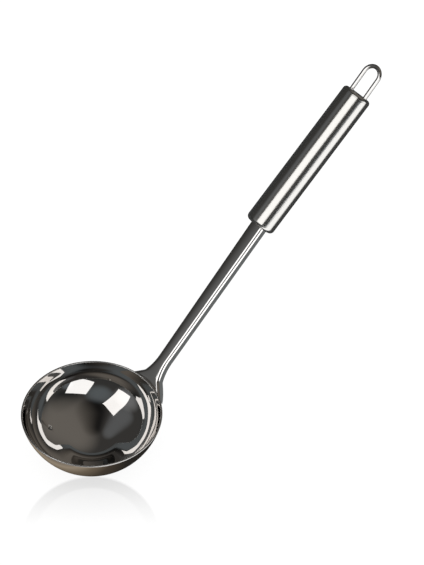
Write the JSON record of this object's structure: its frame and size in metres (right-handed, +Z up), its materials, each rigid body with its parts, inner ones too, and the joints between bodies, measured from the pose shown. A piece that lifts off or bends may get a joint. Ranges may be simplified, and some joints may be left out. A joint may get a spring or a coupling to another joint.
{
  "type": "soup ladle",
  "caption": "Soup ladle with a round pressed bowl, a channel stem that flares into the bowl's wall, a round tube handle and a wire loop to hang it by.",
  "frame": {"origin": "lowest point of the bowl's outside, on the bowl's own axis", "axes": "+Z up along the bowl's axis, square to the rim; +X from the bowl towards the handle, which rises in the XZ plane; +Y across"},
  "size_m": [0.2785, 0.0898, 0.2005],
  "materials": {
    "polished_bowl": "mirror-polished stainless steel",
    "polished_stem": "mirror-polished stainless steel",
    "satin_handle": "fine satin stainless steel",
    "polished_wire": "bright drawn stainless steel wire",
    "plain_steel": "plain pressed stainless steel, out of sight"
  },
  "bodies": {
    "root": {"bowl": "polished_bowl", "stem": "polished_stem", "handle_tube": "satin_handle", "end_cap": "satin_handle", "hanging_loop": "polished_wire", "tang_spacer": "plain_steel"}
  },
  "joints": []
}
